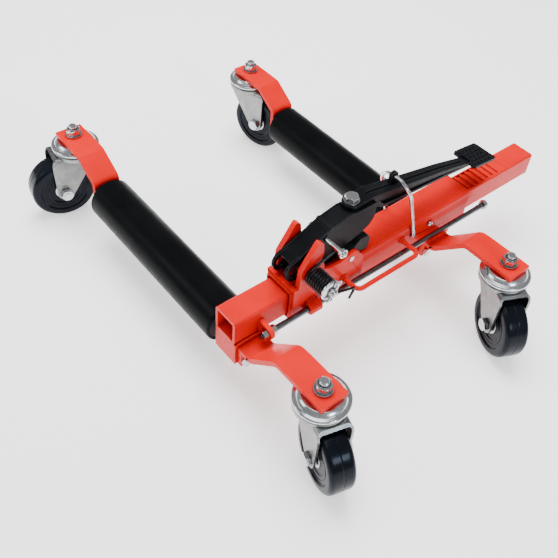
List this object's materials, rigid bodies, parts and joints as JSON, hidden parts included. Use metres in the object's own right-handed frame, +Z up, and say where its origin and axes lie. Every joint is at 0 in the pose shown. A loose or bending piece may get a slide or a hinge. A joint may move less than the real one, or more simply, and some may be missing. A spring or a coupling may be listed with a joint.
{
  "type": "ratcheting wheel dolly",
  "caption": "Ratcheting vehicle wheel dolly: paired rollers on a telescoping square beam squeeze under a tyre by a foot lever, on swivel casters.",
  "frame": {"origin": "centre of the bounding box at floor level", "axes": "+Z up, +X along the beam from the fixed bar end towards the pedal, +Y along the rollers away from the beam"},
  "size_m": [0.6588, 0.702, 0.235],
  "materials": {
    "red_paint": "glossy powder coat",
    "black_paint": "satin black",
    "roller_black": "satin black steel roller",
    "zinc": "bright zinc plate",
    "fork_zinc": "zinc plated pressing",
    "wheel_black": "glossy hard tread",
    "hub_steel": "plated hub core",
    "spring_black": "black oiled spring wire",
    "bush_plastic": "moulded bush",
    "pawl_steel": "blackened hardened steel",
    "rod_steel": "plain drawn rod"
  },
  "bodies": {
    "sleeve": {"outer_sleeve": "red_paint", "ratchet_bracket": "red_paint", "roller_b_bracket": "red_paint", "roller_b_shaft": "zinc", "front_arm_b": "red_paint", "rear_arm_b": "red_paint", "arm_bolts_b": "zinc", "carry_handle": "red_paint", "rod_guide": "red_paint", "lever_pivot_pin": "zinc", "spring_cap": "zinc", "split_pin": "zinc", "torsion_spring": "spring_black", "hold_pawl_pin": "zinc", "sleeve_rivets": "zinc", "caster_bolts_b": "zinc", "swivel_races_b": "zinc"},
    "bar": {"inner_bar": "red_paint", "rack_strip": "red_paint", "roller_a_bracket": "red_paint", "roller_a_shaft": "zinc", "front_arm_a": "red_paint", "rear_arm_a": "red_paint", "arm_bolts_a": "zinc", "stop_rod": "rod_steel", "stop_rod_nuts": "zinc", "rod_lug": "red_paint", "caster_bolts_a": "zinc", "swivel_races_a": "zinc"},
    "roller_a": {"roller_a_tube": "roller_black", "roller_a_bushes": "bush_plastic"},
    "roller_b": {"roller_b_tube": "roller_black", "roller_b_bushes": "bush_plastic"},
    "lever": {"lever_body": "black_paint", "lever_handle": "black_paint", "pedal_plate": "black_paint", "lever_bolt": "zinc", "spring_peg": "zinc"},
    "hoop": {"lock_hoop": "zinc"},
    "drive_pawl_body": {"drive_pawl": "pawl_steel"},
    "hold_pawl_body": {"hold_pawl": "pawl_steel"},
    "caster_ar": {"fork_ar": "fork_zinc", "axle_ar": "zinc"},
    "wheel_body_ar": {"wheel_ar": "wheel_black", "hub_ar": "hub_steel"},
    "caster_br": {"fork_br": "fork_zinc", "axle_br": "zinc"},
    "wheel_body_br": {"wheel_br": "wheel_black", "hub_br": "hub_steel"},
    "caster_af": {"fork_af": "fork_zinc", "axle_af": "zinc"},
    "wheel_body_af": {"wheel_af": "wheel_black", "hub_af": "hub_steel"},
    "caster_bf": {"fork_bf": "fork_zinc", "axle_bf": "zinc"},
    "wheel_body_bf": {"wheel_bf": "wheel_black", "hub_bf": "hub_steel"}
  },
  "joints": [
    {"name": "beam_slide", "type": "slide", "parent": "sleeve", "child": "bar", "axis": [1, 0, 0], "range_m": [-0.3, 0.036]},
    {"name": "roller_a_spin", "type": "hinge", "parent": "bar", "child": "roller_a", "pos_m": [-0.24763, 0.06499, 0.081], "axis": [0, 1, 0], "continuous": true},
    {"name": "roller_b_spin", "type": "hinge", "parent": "sleeve", "child": "roller_b", "pos_m": [0.09437, 0.06499, 0.081], "axis": [0, 1, 0], "continuous": true},
    {"name": "swivel_ar", "type": "hinge", "parent": "bar", "child": "caster_ar", "pos_m": [-0.24763, 0.31399, 0.116], "axis": [0, 0, 1], "continuous": true},
    {"name": "wheel_spin_ar", "type": "hinge", "parent": "caster_ar", "child": "wheel_body_ar", "pos_m": [-0.27806, 0.3199, 0.05], "axis": [-0.1908, -0.9816, 0], "continuous": true},
    {"name": "swivel_br", "type": "hinge", "parent": "sleeve", "child": "caster_br", "pos_m": [0.09437, 0.31399, 0.116], "axis": [0, 0, 1], "continuous": true},
    {"name": "wheel_spin_br", "type": "hinge", "parent": "caster_br", "child": "wheel_body_br", "pos_m": [0.10239, 0.28405, 0.05], "axis": [0.9659, 0.2588, 0], "continuous": true},
    {"name": "swivel_af", "type": "hinge", "parent": "bar", "child": "caster_af", "pos_m": [-0.24763, -0.27001, 0.116], "axis": [0, 0, 1], "continuous": true},
    {"name": "wheel_spin_af", "type": "hinge", "parent": "caster_af", "child": "wheel_body_af", "pos_m": [-0.25669, -0.29966, 0.05], "axis": [0.9563, -0.2924, 0], "continuous": true},
    {"name": "swivel_bf", "type": "hinge", "parent": "sleeve", "child": "caster_bf", "pos_m": [0.09437, -0.27001, 0.116], "axis": [0, 0, 1], "continuous": true},
    {"name": "wheel_spin_bf", "type": "hinge", "parent": "caster_bf", "child": "wheel_body_bf", "pos_m": [0.08078, -0.29787, 0.05], "axis": [0.8988, -0.4384, 0], "continuous": true},
    {"name": "lever_pivot", "type": "hinge", "parent": "sleeve", "child": "lever", "pos_m": [-0.15963, -0.11401, 0.168], "axis": [0, -1, 0], "range_deg": [0, 11]},
    {"name": "drive_pawl_swing", "type": "hinge", "parent": "lever", "child": "drive_pawl_body", "pos_m": [-0.12963, -0.11401, 0.158], "axis": [0, -1, 0], "range_deg": [-44, 0]},
    {"name": "hoop_swing", "type": "hinge", "parent": "lever", "child": "hoop", "pos_m": [0.00698, -0.11401, 0.228], "axis": [0, -1, 0], "range_deg": [0, 10]},
    {"name": "hold_pawl_swing", "type": "hinge", "parent": "sleeve", "child": "hold_pawl_body", "pos_m": [-0.08763, -0.11401, 0.152], "axis": [0, -1, 0], "range_deg": [0, 9]}
  ],
  "couplings": [
    {"joint": "drive_pawl_swing", "follows": "lever_pivot", "ratio": -4}
  ]
}
